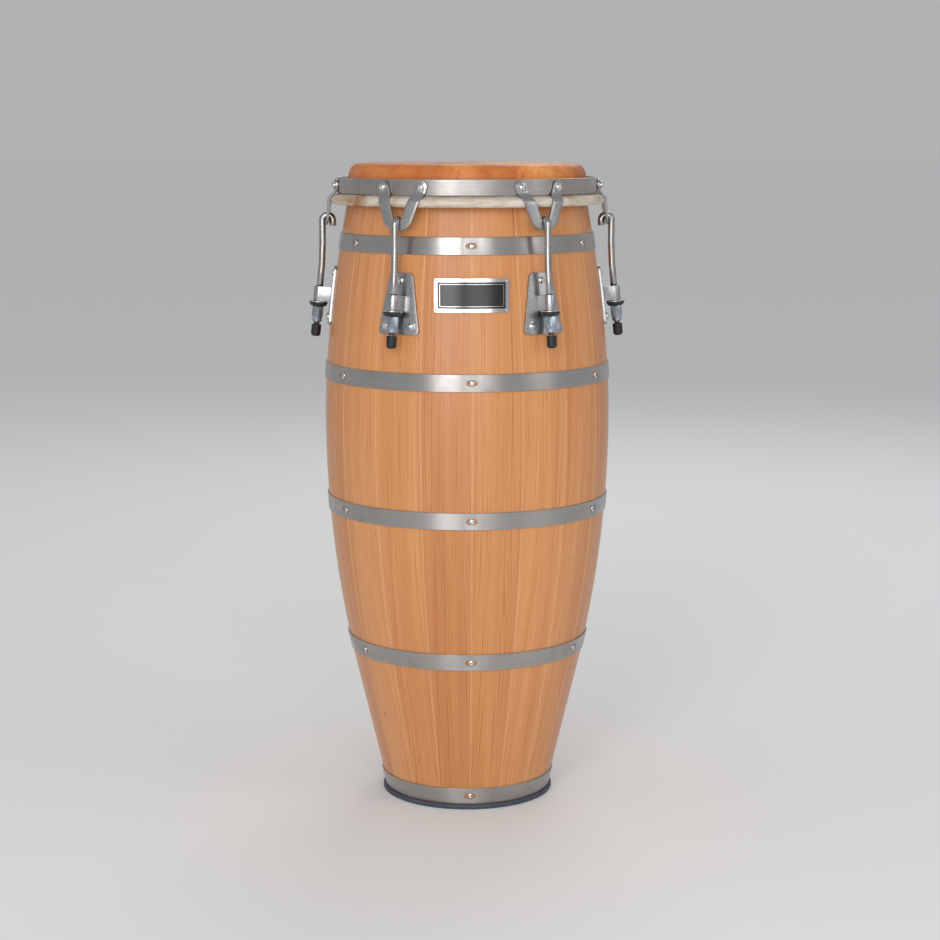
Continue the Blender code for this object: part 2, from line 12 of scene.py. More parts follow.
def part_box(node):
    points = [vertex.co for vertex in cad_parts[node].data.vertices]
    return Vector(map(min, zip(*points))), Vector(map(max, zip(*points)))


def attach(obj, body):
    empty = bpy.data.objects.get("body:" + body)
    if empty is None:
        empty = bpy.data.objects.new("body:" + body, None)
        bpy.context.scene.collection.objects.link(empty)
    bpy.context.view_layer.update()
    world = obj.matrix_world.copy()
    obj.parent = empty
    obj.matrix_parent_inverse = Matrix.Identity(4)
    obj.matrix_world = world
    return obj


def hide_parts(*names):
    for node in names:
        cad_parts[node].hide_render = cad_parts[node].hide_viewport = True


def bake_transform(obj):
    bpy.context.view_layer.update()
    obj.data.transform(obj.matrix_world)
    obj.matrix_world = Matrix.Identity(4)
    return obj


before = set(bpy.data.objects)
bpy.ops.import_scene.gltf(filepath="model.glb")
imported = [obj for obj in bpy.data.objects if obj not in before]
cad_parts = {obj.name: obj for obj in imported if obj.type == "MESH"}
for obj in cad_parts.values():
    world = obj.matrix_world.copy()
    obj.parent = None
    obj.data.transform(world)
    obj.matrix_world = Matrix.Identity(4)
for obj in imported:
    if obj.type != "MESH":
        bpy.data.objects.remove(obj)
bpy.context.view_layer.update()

# Sizes of the drum that the looks follow
HEAD_HEIGHT = 0.762
SKIN = 0.0022
GAP = 0.0003
KNEE_HEIGHT = 0.150
KNEE_RADIUS = 0.1333
FOOT_RADIUS = 0.0973
BELLY_HEIGHT = 0.460
BELLY_RADIUS = 0.1702
RIM_RADIUS = 0.1345
RIM_TAPER = 0.19
RIM_ROUNDING = 0.007
WALL = 0.014
STAVE_COUNT = 18
STAVE_BOTTOM = 0.003
STAVE_EASE = 0.00012
STAVE_GAP = 0.00005
STAVE_GAP_RADIUS = 0.13
JOINT_LINE = 0.03
GROWTH_SPACING = 0.0027
GROWTH_DRIFT = 9
BAND_THICKNESS = 0.0014
BAND_EDGE = 0.0005
BAND_SCREWS = 6
FOOT_BAND_SCREWS = 4
SLOT_LENGTH = 0.0136
SLOT_WIDTH = 0.0064
SLOT_REACH = 0.006
SLOT_SINK = 0.0004
DIMPLE_RADIUS = 0.011
DIMPLE_DEPTH = 0.00095
DIMPLE_SQUASH = 0.8
PAD_THICKNESS = 0.0027
PAD_ROUNDING = 0.0016
SHOULDER_CLEAR = 0.0065
SHOULDER_WALL = RIM_RADIUS + SHOULDER_CLEAR
SHOULDER_WIDTH = 0.0128
SHOULDER_DROP = 0.017
SKIRT_DROP = 0.020
SKIRT_FLARE = 0.0004
WRAP_START = math.radians(-115)
TUCK_RISE = 0.0155
TUCK_BEND = 0.0022
HOOP_ROUNDING = 0.0009
CROWN_INNER = 0.1516
CROWN_OUTER = 0.1548
CROWN_BOTTOM = 0.7278
CROWN_TOP = 0.746
RING_RADIUS = 0.1573
RING_HEIGHT = 0.720
WRAP_RADIUS = 0.0052
BRACKET_THICKNESS = 0.0028
BRACKET_SPREAD = 0.050
BRACKET_BOTTOM = 0.6896
BOLT_HEIGHT = 0.737
ARM_WIDTH = 0.013
TAB_RADIUS = 0.007
BAR_HEIGHT = 0.006
NOTCH_BEND = 0.012
BRACKET_FLARE = 0.002
BRACKET_EASE = 0.0022
BRACKET_ROOM = 0.00025
HOOK_ROD = 0.008
HOOK_TIP = 0.0065
HOOK_TIP_CHAMFER = 0.0008
HOOK_LEG = 0.027
HOOK_PLAY = 0.00045
TUNE_DOWN = 0.005
TUNE_UP = 0.002
THREAD_PITCH = 0.00125
THREAD_DEPTH = 0.00055
THREAD_CREST = 0.00005
CAP_LENGTH = 0.0145
CAP_DIAMETER = 0.0115
CAP_ROUNDING = 0.0035
LUG_HEIGHT = 0.6084
LUG_STANDOFF = 0.017
LUG_TOE = 0.031
STRAP_LENGTH = 0.0175
STRAP_BORE = 0.0094
STRAP_THICKNESS = 0.0020
PLATE_THICKNESS = 0.0030
PLATE_ABOVE = 0.033
PLATE_BELOW = 0.036
PLATE_TOP_WIDTH = 0.029
PLATE_BOTTOM_WIDTH = 0.053
PLATE_CORNER = 0.005
LUG_SCREW_SPREAD = 0.0165
LUG_SCREW_BELOW_TOP = 0.0085
LUG_SCREW_ABOVE_BOTTOM = 0.0095
WASHER_RADIUS = 0.011
WASHER_HEIGHT = 0.0060
WASHER_RIM = 0.0012
NUT_WIDTH = 0.013
NUT_HEIGHT = 0.0125
NUT_NOSE = 0.0060
NUT_TO_CAP = 0.003
NAME_WIDTH = 0.086
NAME_HEIGHT = 0.038
NAME_MIDDLE = 0.617
NAME_THICKNESS = 0.0016
NAME_BORDER = 0.0042
NAME_LINE_INSET = 0.0022
NAME_LINE_WIDTH = 0.00055
NAME_PIN_ACROSS = 0.0026
NAME_PIN_DOWN = 0.0024

# Heads, washers and small nuts as (radius, rise)
BAND_SCREW_HEAD = (0.0040, 0.0028)
BOLT_HEAD = (0.0042, 0.0032)
BOLT_WASHER = (0.0052, 0.0007)
BOLT_NUT = (0.0046, 0.0025)
LUG_SCREW_HEAD = (0.0039, 0.0026)
LUG_SCREW_WASHER = (0.0055, 0.0007)
PIN_HEAD = (0.0014, 0.0011)
HEAD_ABOVE_WASHER = 0.0006

BAND_MIDDLES = {
    "band_rim": 0.6718,
    "band_upper": 0.5189,
    "band_belly": 0.3604,
    "band_lower": 0.1896,
    "band_foot": 0.0163,
}

RIM_HEIGHT = HEAD_HEIGHT - SKIN - GAP
FOOT_TAPER = (KNEE_RADIUS - FOOT_RADIUS) / KNEE_HEIGHT
TUNERS = [math.radians(angle) for angle in (30, 90, 150, 210, 270, 330)]

# The photograph's camera
FOCAL_PIXELS = 2145
FRAME_PIXELS = 940
CAMERA_DISTANCE = 2.567
CAMERA_HEIGHT = 0.799
CAMERA_PITCH = math.radians(8.97)
CAMERA_AZIMUTH = math.radians(-1.9)
CAMERA_SIDESTEP = 0.0033


def eased(height, low, low_radius, low_slope, high, high_radius, high_slope):
    """Radius on the smooth curve between two heights, with a set slope at each."""
    span = high - low
    t = (height - low) / span
    ends = (2 * t**3 - 3 * t**2 + 1) * low_radius + (3 * t**2 - 2 * t**3) * high_radius
    slopes = (t**3 - 2 * t**2 + t) * low_slope + (t**3 - t**2) * high_slope
    return ends + slopes * span


def shell_radius(height):
    """Outside radius of the shell."""
    if height <= KNEE_HEIGHT:
        return FOOT_RADIUS + FOOT_TAPER * height
    if height <= BELLY_HEIGHT:
        return eased(height, KNEE_HEIGHT, KNEE_RADIUS, FOOT_TAPER, BELLY_HEIGHT, BELLY_RADIUS, 0)
    return eased(height, BELLY_HEIGHT, BELLY_RADIUS, 0, RIM_HEIGHT, RIM_RADIUS, -RIM_TAPER)


def shell_lean(height):
    """Angle of the shell's side to the upright, positive where it narrows upwards."""
    step = 0.001
    return math.atan((shell_radius(height - step) - shell_radius(height + step)) / (2 * step))


LUG_RADIUS = shell_radius(LUG_HEIGHT) + LUG_STANDOFF
LUG_LEAN = shell_lean(LUG_HEIGHT) - LUG_TOE
LUG_FRAME = Matrix.Translation((0, -LUG_RADIUS, LUG_HEIGHT)) @ Matrix.Rotation(-LUG_LEAN, 4, "X")


def evenly(start, end, steps):
    """Values from start to end, both included."""
    return [start + (end - start) * i / steps for i in range(steps + 1)]


def arc(centre, radii, start, end, steps):
    """Points of an arc round a (radius, height) centre."""
    angles = evenly(start, end, steps)
    return [(centre[0] + radii[0] * math.cos(a), centre[1] + radii[1] * math.sin(a)) for a in angles]


def corner_curve(start, corner, end, steps):
    """Points of the curve from start to end that turns at a corner."""
    return [start * (1 - t) ** 2 + corner * 2 * t * (1 - t) + end * t**2 for t in evenly(0, 1, steps)]


def rounded(outline, radius, steps=3):
    """A closed outline with every corner rounded."""
    result = []
    count = len(outline)
    for i, corner in enumerate(outline):
        corner = Vector(corner)
        before = Vector(outline[i - 1]) - corner
        after = Vector(outline[(i + 1) % count]) - corner
        reach = min(radius, before.length * 0.45, after.length * 0.45)
        start = corner + before.normalized() * reach
        end = corner + after.normalized() * reach
        result += [tuple(point) for point in corner_curve(start, corner, end, steps)]
    return result


def around(radius, angle, height):
    """A point round the drum, its angle counted from the front."""
    return Vector((radius * math.sin(angle), -radius * math.cos(angle), height))


def on_shell(across, height, lift=0.0):
    """A point of the shell's front, at a distance across measured round it."""
    radius = shell_radius(height) + lift
    return around(radius, across / radius, height)


def finished(bm, name, angle=35.0, weld=0.000001):
    """The mesh of a bmesh, its faces turned outwards and its soft edges smooth."""
    bmesh.ops.remove_doubles(bm, verts=bm.verts, dist=weld)
    bmesh.ops.recalc_face_normals(bm, faces=bm.faces)
    mesh = bpy.data.meshes.new(name)
    bm.to_mesh(mesh)
    bm.free()
    mesh.shade_smooth()
    mesh.set_sharp_from_angle(angle=math.radians(angle))
    return mesh


def skin_rows(bm, rows, wrap_rows=False, wrap_columns=False, caps=False):
    """Faces between rows of points; returns the rows' vertices."""
    grid = [[bm.verts.new(point) for point in row] for row in rows]
    row_count = len(grid)
    column_count = len(grid[0])
    for i in range(row_count if wrap_rows else row_count - 1):
        a = grid[i]
        b = grid[(i + 1) % row_count]
        for j in range(column_count if wrap_columns else column_count - 1):
            k = (j + 1) % column_count
            corners = [a[j], a[k], b[k], b[j]]
            if len({tuple(round(c, 7) for c in v.co) for v in corners}) > 2:
                bm.faces.new(corners)
    if caps:
        bm.faces.new(grid[0][::-1])
        bm.faces.new(grid[-1])
    return grid


def solid(name, rows, angle=35.0, matrix=None, wrap_rows=False, wrap_columns=True):
    """A mesh of rows of points, capped at its ends unless the rows wrap round."""
    bm = bmesh.new()
    skin_rows(bm, rows, wrap_rows, wrap_columns, caps=not wrap_rows)
    if matrix:
        bm.transform(matrix)
    return finished(bm, name, angle)


def turned(name, outline, steps, closed=True, matrix=None):
    """A mesh turned about Z from an outline of (radius, height) points."""
    rows = [[around(r, a, z) for r, z in outline] for a in evenly(0, math.tau, steps)[:-1]]
    return solid(name, rows, matrix=matrix, wrap_rows=True, wrap_columns=closed)


def strip_outline(path, thickness):
    """Closed outline of a strip of even thickness along a path of (radius, height) points."""
    points = [Vector(point) for point in path]
    left = []
    right = []
    for i, point in enumerate(points):
        behind = (point - points[i - 1]).normalized() if i > 0 else None
        ahead = (points[i + 1] - point).normalized() if i < len(points) - 1 else behind
        behind = behind or ahead
        along = (behind + ahead).normalized()
        offset = Vector((-along.y, along.x)) * (thickness / 2 / along.dot(ahead))
        left.append(tuple(point + offset))
        right.append(tuple(point - offset))
    return left + right[::-1]


def tube_rings(path, radii, across, sides):
    """Rings of a round bar along a flat path; across is the normal of the path's plane."""
    rings = []
    for i, point in enumerate(path):
        ahead = path[min(i + 1, len(path) - 1)] - path[max(i - 1, 0)]
        side = ahead.cross(across).normalized()
        ring = []
        for angle in evenly(0, math.tau, sides)[:-1]:
            ring.append(point + (side * math.cos(angle) + across * math.sin(angle)) * radii[i])
        rings.append(ring)
    return rings


def placed(name, data):
    """A new object in the scene."""
    made = bpy.data.objects.new(name, data)
    bpy.context.scene.collection.objects.link(made)
    return made


def applied(helper, angle, *others):
    """The mesh of a helper after its modifiers; the helpers are removed."""
    bpy.context.view_layer.update()
    result = bpy.data.meshes.new_from_object(helper.evaluated_get(bpy.context.evaluated_depsgraph_get()))
    for passing in (helper, *others):
        bpy.data.objects.remove(passing)
    result.shade_smooth()
    result.set_sharp_from_angle(angle=math.radians(angle))
    return result


def bevelled(mesh, width, segments=2):
    """The mesh with its sharp edges rounded."""
    helper = placed("helper", mesh)
    bevel = helper.modifiers.new("edges", "BEVEL")
    bevel.width = width
    bevel.segments = segments
    bevel.limit_method = "ANGLE"
    bevel.angle_limit = math.radians(40)
    return applied(helper, 50)


def cut(mesh, cutter_mesh, operation="DIFFERENCE"):
    """The mesh after a Boolean with another."""
    target = placed("target", mesh)
    tool = placed("tool", cutter_mesh)
    boolean = target.modifiers.new("cut", "BOOLEAN")
    boolean.operation = operation
    boolean.object = tool
    return applied(target, 35, tool)


def seat_frame(angle, radius, height, lean):
    """Frame on the drum's side, its Z axis pointing out, square to the side."""
    turn = Matrix.Rotation(angle, 4, "Z")
    return turn @ Matrix.Translation((0, -radius, height)) @ Matrix.Rotation(math.pi / 2 - lean, 4, "X")


def spin(bm, outline, matrix, closed, sides=24):
    """Add a small turned body in a frame, from its outline of (radius, height) points."""
    rows = []
    for a in evenly(0, math.tau, sides)[:-1]:
        rows.append([matrix @ Vector((r * math.cos(a), r * math.sin(a), z)) for r, z in outline])
    skin_rows(bm, rows, wrap_rows=True, wrap_columns=closed)


def add_screw(bm, height, angle, radius, head, across=0.0, lean=None, sides=24):
    """A dome-headed screw seated at a radius, facing out of the drum; head is (radius, rise)."""
    lean = shell_lean(height) if lean is None else lean
    width, rise = head
    socket = width * 0.36
    dome = arc((0, rise * 0.22), (width, rise * 0.78), 0, math.acos(socket / width), 7)
    outline = [(0, 0), (width * 0.97, 0)] + dome + [(socket * 0.9, rise * 0.45), (0, rise * 0.5)]
    spin(bm, outline, seat_frame(angle + across / radius, radius, height, lean), False, sides)


def add_washer(bm, height, radius, across, size, lean=0.0):
    """A flat washer seated at a radius, facing out of the drum; size is (radius, rise)."""
    width, rise = size
    outline = rounded([(0.0005, 0), (width, 0), (width, rise), (0.0005, rise)], 0.0003, 2)
    spin(bm, outline, seat_frame(across / radius, radius, height, lean), True)


def plate_shares(corner, half_height, steps, corner_steps):
    """Shares from -1 to 1 up a plate, closer together at its rounded corners."""
    turns = [math.sin(a) for a in evenly(0, math.pi / 2, corner_steps)]
    ends = {side * (1 - corner / half_height * (1 - turn)) for side in (-1, 1) for turn in turns}
    return sorted(set(evenly(-1, 1, steps)) | ends)


def corner_inset(share, corner, half_height):
    """How far a rounded corner draws a plate's side in, at a share of its half height."""
    from_end = (1 - abs(share)) * half_height
    if from_end >= corner:
        return 0.0
    return corner - math.sqrt(max(0, corner**2 - (corner - from_end) ** 2))


def plate_row(half, height, low, high, columns):
    """Points round a curved plate at one height, from its outer face to its inner one."""
    outside = [on_shell(share * half, height, high) for share in evenly(-1, 1, columns)]
    inside = [on_shell(share * half, height, low) for share in evenly(1, -1, columns)]
    return outside + inside


def add(name, mesh, material, body, replaced=(), turn=0.0):
    """An object for one piece, turned round the drum, on its body."""
    data = mesh.copy()
    data.name = name
    if turn:
        data.transform(Matrix.Rotation(turn, 4, "Z"))
    data.materials.clear()
    data.materials.append(material)
    piece = placed(name, data)
    if body:
        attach(piece, body)
    if replaced:
        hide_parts(*replaced)
    return piece


# Materials

WHITE = (255, 255, 255)


def linear(red, green, blue):
    """A screen colour of 0 to 255 as the shader's linear colour."""
    values = [c / 255 for c in (red, green, blue)]
    return (*[v / 12.92 if v < 0.04045 else ((v + 0.055) / 1.055) ** 2.4 for v in values], 1)


class Nodes:
    """Shader nodes under construction; most methods return the socket that they make."""

    def __init__(self, tree):
        self.tree = tree

    def node(self, kind, **settings):
        """A new node with its settings."""
        node = self.tree.nodes.new(kind)
        for key, value in settings.items():
            setattr(node, key, value)
        return node

    def link(self, output, target):
        """A link between two sockets."""
        self.tree.links.new(output, target)

    def give(self, value, socket):
        """A link to the socket, or its value."""
        if isinstance(value, bpy.types.NodeSocket):
            self.link(value, socket)
        else:
            socket.default_value = value

    def fill(self, node, **values):
        """Links or values for a node's inputs, by name."""
        for name, value in values.items():
            self.give(value, node.inputs[name.replace("_", " ")])

    def calculate(self, operation, *values, kind="ShaderNodeMath"):
        """The result of a math node."""
        node = self.node(kind, operation=operation)
        for value, socket in zip(values, node.inputs):
            self.give(value, socket)
        return node.outputs[0]

    def axis(self, vector, name):
        """One axis of a vector."""
        node = self.node("ShaderNodeSeparateXYZ")
        self.link(vector, node.inputs[0])
        return node.outputs[name]

    def place(self):
        """Where a point is on the drum, in metres."""
        return self.node("ShaderNodeTexCoord").outputs["Object"]

    def attribute(self, name, output="Vector"):
        """A value kept on the mesh."""
        return self.node("ShaderNodeAttribute", attribute_name=name).outputs[output]

    def stretched(self, vector, scale):
        """The vector times a scale for each axis."""
        return self.calculate("MULTIPLY", vector, scale, kind="ShaderNodeVectorMath")

    def noise(self, vector, scale=1.0, detail=3.0, roughness=0.55, distortion=0.0):
        """Noise from 0 to 1."""
        node = self.node("ShaderNodeTexNoise")
        self.fill(node, Vector=vector, Scale=scale, Detail=detail)
        self.fill(node, Roughness=roughness, Distortion=distortion)
        return node.outputs["Fac"]

    def growth_lines(self, grain, wander):
        """Evenly spaced lines up the grain, from 0 to 1, that drift with the wander."""
        across = self.axis(grain, "X")
        drift = self.calculate("MULTIPLY", wander, GROWTH_DRIFT * math.tau)
        phase = self.calculate("MULTIPLY_ADD", across, math.tau / GROWTH_SPACING, drift)
        return self.spread(self.calculate("SINE", phase), -1, 1)

    def ramp(self, factor, *stops):
        """A colour from a factor and stops of (position, screen colour)."""
        node = self.node("ShaderNodeValToRGB")
        self.link(factor, node.inputs["Fac"])
        elements = node.color_ramp.elements
        while len(elements) < len(stops):
            elements.new(0.5)
        for element, (position, colour) in zip(elements, stops):
            element.position = position
            element.color = linear(*colour)
        return node.outputs["Color"]

    def mix(self, a, b, factor, mode="MIX"):
        """Two colours mixed; the node's sockets 0, 6 and 7 are its factor and its colours."""
        node = self.node("ShaderNodeMix", data_type="RGBA", blend_type=mode)
        for value, index in ((factor, 0), (a, 6), (b, 7)):
            self.give(value, node.inputs[index])
        return node.outputs[2]

    def spread(self, factor, low, high, out_low=0.0, out_high=1.0):
        """The factor's range from low to high, spread to another range."""
        node = self.node("ShaderNodeMapRange")
        self.fill(node, Value=factor, From_Min=low, From_Max=high, To_Min=out_low, To_Max=out_high)
        return node.outputs["Result"]

    def bump(self, height, strength, distance, under=None):
        """A normal with fine relief."""
        node = self.node("ShaderNodeBump")
        self.fill(node, Strength=strength, Distance=distance, Height=height)
        if under:
            self.link(under, node.inputs["Normal"])
        return node.outputs["Normal"]


class Look(Nodes):
    """A node material under construction."""

    def __init__(self, name, roughness=0.5, metallic=0.0):
        self.material = bpy.data.materials.new(name)
        self.material.use_nodes = True
        super().__init__(self.material.node_tree)
        self.shader = self.tree.nodes["Principled BSDF"]
        self.fill(self.shader, Roughness=roughness, Metallic=metallic)

    def set(self, **values):
        """The material, after its shader's inputs are set."""
        self.fill(self.shader, **values)
        return self.material


def wood_look():
    """Lacquered straight-grained softwood; its growth lines run up each stave."""
    look = Look("stave_wood", 0.4)
    grain = look.attribute("grain")
    tone = look.attribute("tone", "Fac")
    joint = look.attribute("joint", "Fac")
    wander = look.noise(look.stretched(grain, (34, 1, 1.4)), detail=3)
    fading = look.noise(look.stretched(grain, (260, 1, 3)), detail=3)
    strength = look.spread(fading, 0.35, 0.65, 0.1, 1)
    lines = look.mix((0, 0, 0, 1), look.growth_lines(grain, wander), strength)
    patches = look.noise(look.stretched(grain, (70, 1, 2)), detail=3)
    fibres = look.noise(look.stretched(grain, (2400, 1, 60)), detail=2)
    flecks = look.noise(look.stretched(grain, (160, 1, 70)), detail=1)
    colour = look.ramp(lines, (0.05, (226, 166, 112)), (0.60, (217, 154, 99)), (0.95, (197, 132, 79)))
    broad = look.ramp(patches, (0.32, (255, 251, 246)), (0.7, (240, 223, 206)))
    colour = look.mix(colour, broad, 0.9, "MULTIPLY")
    fine = look.ramp(fibres, (0.40, WHITE), (0.70, (230, 212, 196)))
    colour = look.mix(colour, fine, 0.4, "MULTIPLY")
    shade = look.ramp(tone, (0.0, (232, 220, 208)), (1.0, WHITE))
    colour = look.mix(colour, shade, 1.0, "MULTIPLY")
    colour = look.mix(colour, linear(150, 88, 46), look.spread(flecks, 0.76, 0.84, 0, 0.6))
    colour = look.mix(colour, linear(246, 204, 156), look.spread(joint, 0, 1, 0, 0.3))
    normal = look.bump(lines, 0.15, 0.0001)
    normal = look.bump(fibres, 0.2, 0.00008, normal)
    rough = look.spread(fibres, 0.3, 0.7, 0.34, 0.48)
    return look.set(
        Base_Color=colour,
        Roughness=rough,
        Normal=normal,
        Coat_Weight=0.25,
        Coat_Roughness=0.22,
        Specular_IOR_Level=0.4,
    )


def steel_look(name, colour, rough, brushed, tint=0.12, wear=0.0, spun=0.0):
    """Steel, tumbled where brushed is even; spun steel stretches its highlights up and down."""
    look = Look(name, rough, 1.0)
    place = look.place()
    brush = look.noise(look.stretched(place, brushed), detail=3, roughness=0.7)
    smudge = look.noise(look.stretched(place, (30, 30, 30)), detail=4, roughness=0.6)
    stain = linear(*[c * f for c, f in zip(colour, (0.86, 0.78, 0.70))])
    base = look.ramp(brush, (0.3, [c * (1 - tint) for c in colour]), (0.7, colour))
    base = look.mix(base, stain, look.spread(smudge, 0.55, 0.85, 0, 0.35 + wear))
    roughness = look.spread(smudge, 0.3, 0.7, rough * 0.8, rough * 1.3)
    normal = look.bump(brush, 0.18, 0.00006)
    if spun:
        tangent = look.node("ShaderNodeTangent", direction_type="RADIAL", axis="Z")
        look.set(Tangent=tangent.outputs[0], Anisotropic=spun, Anisotropic_Rotation=0.25)
    return look.set(Base_Color=base, Roughness=roughness, Normal=normal)


def rawhide_colour(look, place):
    """Amber mottling of the playing skin, with pale patches and dark flecks."""
    mottle = look.noise(place, 16, 5, 0.62, 0.6)
    patch = look.noise(place, 6, 3, 0.5, 1.2)
    fleck = look.noise(look.stretched(place, (1, 1, 0.4)), 120, 3, 0.6)
    amber = look.ramp(
        mottle,
        (0.28, (156, 86, 38)),
        (0.46, (208, 126, 58)),
        (0.60, (228, 154, 84)),
        (0.76, (240, 188, 128)),
    )
    browner = look.ramp(patch, (0.35, (255, 250, 240)), (0.7, (214, 170, 130)))
    colour = look.mix(amber, browner, 0.8, "MULTIPLY")
    specks = look.ramp(fleck, (0.60, WHITE), (0.74, (170, 120, 84)))
    return look.mix(colour, specks, 0.5, "MULTIPLY")


def collar_colour(look, place):
    """Dry grey-white rawhide with brown stains."""
    stain = look.noise(look.stretched(place, (1, 1, 1.5)), 9, 4, 0.6, 0.8)
    streak = look.noise(look.stretched(place, (60, 60, 260)), 1, 3, 0.6)
    pale = look.ramp(
        stain,
        (0.34, (226, 220, 210)),
        (0.54, (206, 194, 178)),
        (0.66, (170, 130, 92)),
        (0.80, (120, 76, 40)),
    )
    lines = look.ramp(streak, (0.4, WHITE), (0.7, (206, 196, 186)))
    return look.mix(pale, lines, 0.6, "MULTIPLY")


def rawhide_look(name, collar=False):
    """Rawhide: amber where it is played, pale and dry below the hoop."""
    look = Look(name, 0.45)
    place = look.place()
    if collar:
        colour = collar_colour(look, place)
    else:
        share = look.spread(look.axis(place, "Z"), HEAD_HEIGHT - 0.030, HEAD_HEIGHT - 0.018, 1, 0)
        colour = look.mix(rawhide_colour(look, place), collar_colour(look, place), share)
    pores = look.noise(place, 700, 2, 0.5)
    waves = look.noise(place, 60, 4, 0.6)
    normal = look.bump(waves, 0.35, 0.0008)
    normal = look.bump(pores, 0.25, 0.00015, normal)
    rough = look.spread(waves, 0.3, 0.7, 0.38, 0.62)
    return look.set(Base_Color=colour, Roughness=rough, Normal=normal, Specular_IOR_Level=0.45)


def rubber_look(name, colour, rough, grain=900):
    """Matt rubber or moulded plastic with a fine grain."""
    look = Look(name, rough)
    place = look.place()
    fine = look.noise(place, grain, 2)
    dust = look.noise(place, 40, 4, 0.6)
    base = look.ramp(dust, (0.35, colour), (0.8, [c + 16 for c in colour]))
    return look.set(Base_Color=base, Normal=look.bump(fine, 0.3, 0.00015), Roughness=rough)


wood = wood_look()
band_steel = steel_look("band_steel", (188, 185, 182), 0.38, (3, 3, 2600), tint=0.08, spun=0.85)
hoop_steel = steel_look("hoop_steel", (190, 185, 181), 0.42, (4, 4, 1800), wear=0.1, spun=0.7)
fitting_steel = steel_look("fitting_steel", (186, 186, 188), 0.30, (500, 500, 500), tint=0.14)
hook_steel = steel_look("hook_steel", (180, 178, 176), 0.24, (260, 260, 30))
screw_steel = steel_look("screw_steel", (214, 213, 211), 0.16, (700, 700, 700), tint=0.06)
zinc = steel_look("nut_zinc", (184, 195, 208), 0.26, (420, 420, 420), tint=0.2)
plate_steel = steel_look("plate_steel", (214, 214, 213), 0.18, (900, 900, 60), tint=0.08)
black_washer = rubber_look("washer_black", (26, 26, 27), 0.42)
black_rubber = rubber_look("cap_rubber", (18, 18, 19), 0.5)
foot_rubber = rubber_look("foot_rubber", (58, 64, 76), 0.62)
panel_black = rubber_look("panel_black", (13, 13, 15), 0.22, 400)
head_look = rawhide_look("head_rawhide")
collar_look = rawhide_look("collar_rawhide", collar=True)


# Shell


def stave_outline():
    """Closed long section of a stave."""
    foot = RIM_HEIGHT - RIM_ROUNDING
    outside = [(shell_radius(z), z) for z in evenly(STAVE_BOTTOM + 0.001, foot, 44)]
    centre = (RIM_RADIUS - RIM_ROUNDING, foot)
    rounding = arc(centre, (RIM_ROUNDING, RIM_ROUNDING), 0, math.pi / 2, 7)
    inside = [(shell_radius(z) - WALL, z) for z in evenly(RIM_HEIGHT, STAVE_BOTTOM, 16)]
    return outside + rounding[1:] + inside


def build_staves():
    """Eighteen staves with tight joints, their edges eased."""
    outline = stave_outline()
    span = math.tau / STAVE_COUNT
    draw = random.Random(7)
    shares = [0, 0.012, JOINT_LINE] + evenly(0.1, 0.9, 10) + [1 - JOINT_LINE, 0.988, 1]
    for i in range(STAVE_COUNT):
        bm = bmesh.new()
        grain = bm.verts.layers.float_vector.new("grain")
        tone = bm.verts.layers.float.new("tone")
        joint = bm.verts.layers.float.new("joint")
        rows = []
        for share in shares:
            drop = STAVE_EASE if share in (0, 1) else 0
            side = STAVE_GAP / STAVE_GAP_RADIUS * (1 - 2 * share)
            angle = (i + share) * span + side
            rows.append([around(r - drop, angle, z) for r, z in outline])
        grid = skin_rows(bm, rows, wrap_columns=True, caps=True)
        level = draw.uniform(0.0, 1.0)
        tilt = draw.uniform(-0.012, 0.012)
        for share, row in zip(shares, grid):
            for vertex, (radius, height) in zip(row, outline):
                across = (share - 0.5) * span * radius
                vertex[grain] = (across + i * 0.31 + tilt * height, i * 3.7 + radius, height)
                vertex[tone] = level
                vertex[joint] = max(0, 1 - min(share, 1 - share) / JOINT_LINE)
        mesh = finished(bm, "stave", 30, 0.0000001)
        number = f"{i + 1:02d}"
        add(f"shell_stave_{number}", mesh, wood, "shell", [f"stave_{number}"])


def dimple(angle, height, middle, screws):
    """Depth of the shallow dimple that a screw's head draws in a band."""
    nearest = min(abs((angle - a + math.pi) % math.tau - math.pi) for a in screws)
    across = nearest * shell_radius(middle)
    distance = math.hypot(across, (height - middle) * DIMPLE_SQUASH)
    share = max(0.0, 1 - distance / DIMPLE_RADIUS)
    return DIMPLE_DEPTH * share * share * (3 - 2 * share)


def slot_cutter(middle, screws):
    """Horizontal slots through a band, one behind each screw."""
    bm = bmesh.new()
    outer = shell_radius(middle) + SLOT_REACH
    inner = shell_radius(middle) - SLOT_SINK
    half = SLOT_LENGTH / 2
    end = SLOT_WIDTH / 2
    outline = arc((half - end, 0), (end, end), -math.pi / 2, math.pi / 2, 8)
    outline += arc((end - half, 0), (end, end), math.pi / 2, 3 * math.pi / 2, 8)
    lean = math.tan(shell_lean(middle))
    for angle in screws:
        rows = [
            [around(radius - z * lean, angle + x / radius, middle + z) for x, z in outline]
            for radius in (inner, outer)
        ]
        skin_rows(bm, rows, wrap_columns=True, caps=True)
    return finished(bm, "slots")


def band_angles(screws):
    """Angles round a band, closer together at its screws."""
    mean_radius = 0.14
    reach = 0.0115
    closest = 0.0008
    near = [(a + d / mean_radius) % math.tau for a in screws for d in evenly(-reach, reach, 14)]
    angles = sorted(set(evenly(0, math.tau, 240)[:-1] + near))
    return [a for i, a in enumerate(angles) if i == 0 or a - angles[i - 1] > closest]


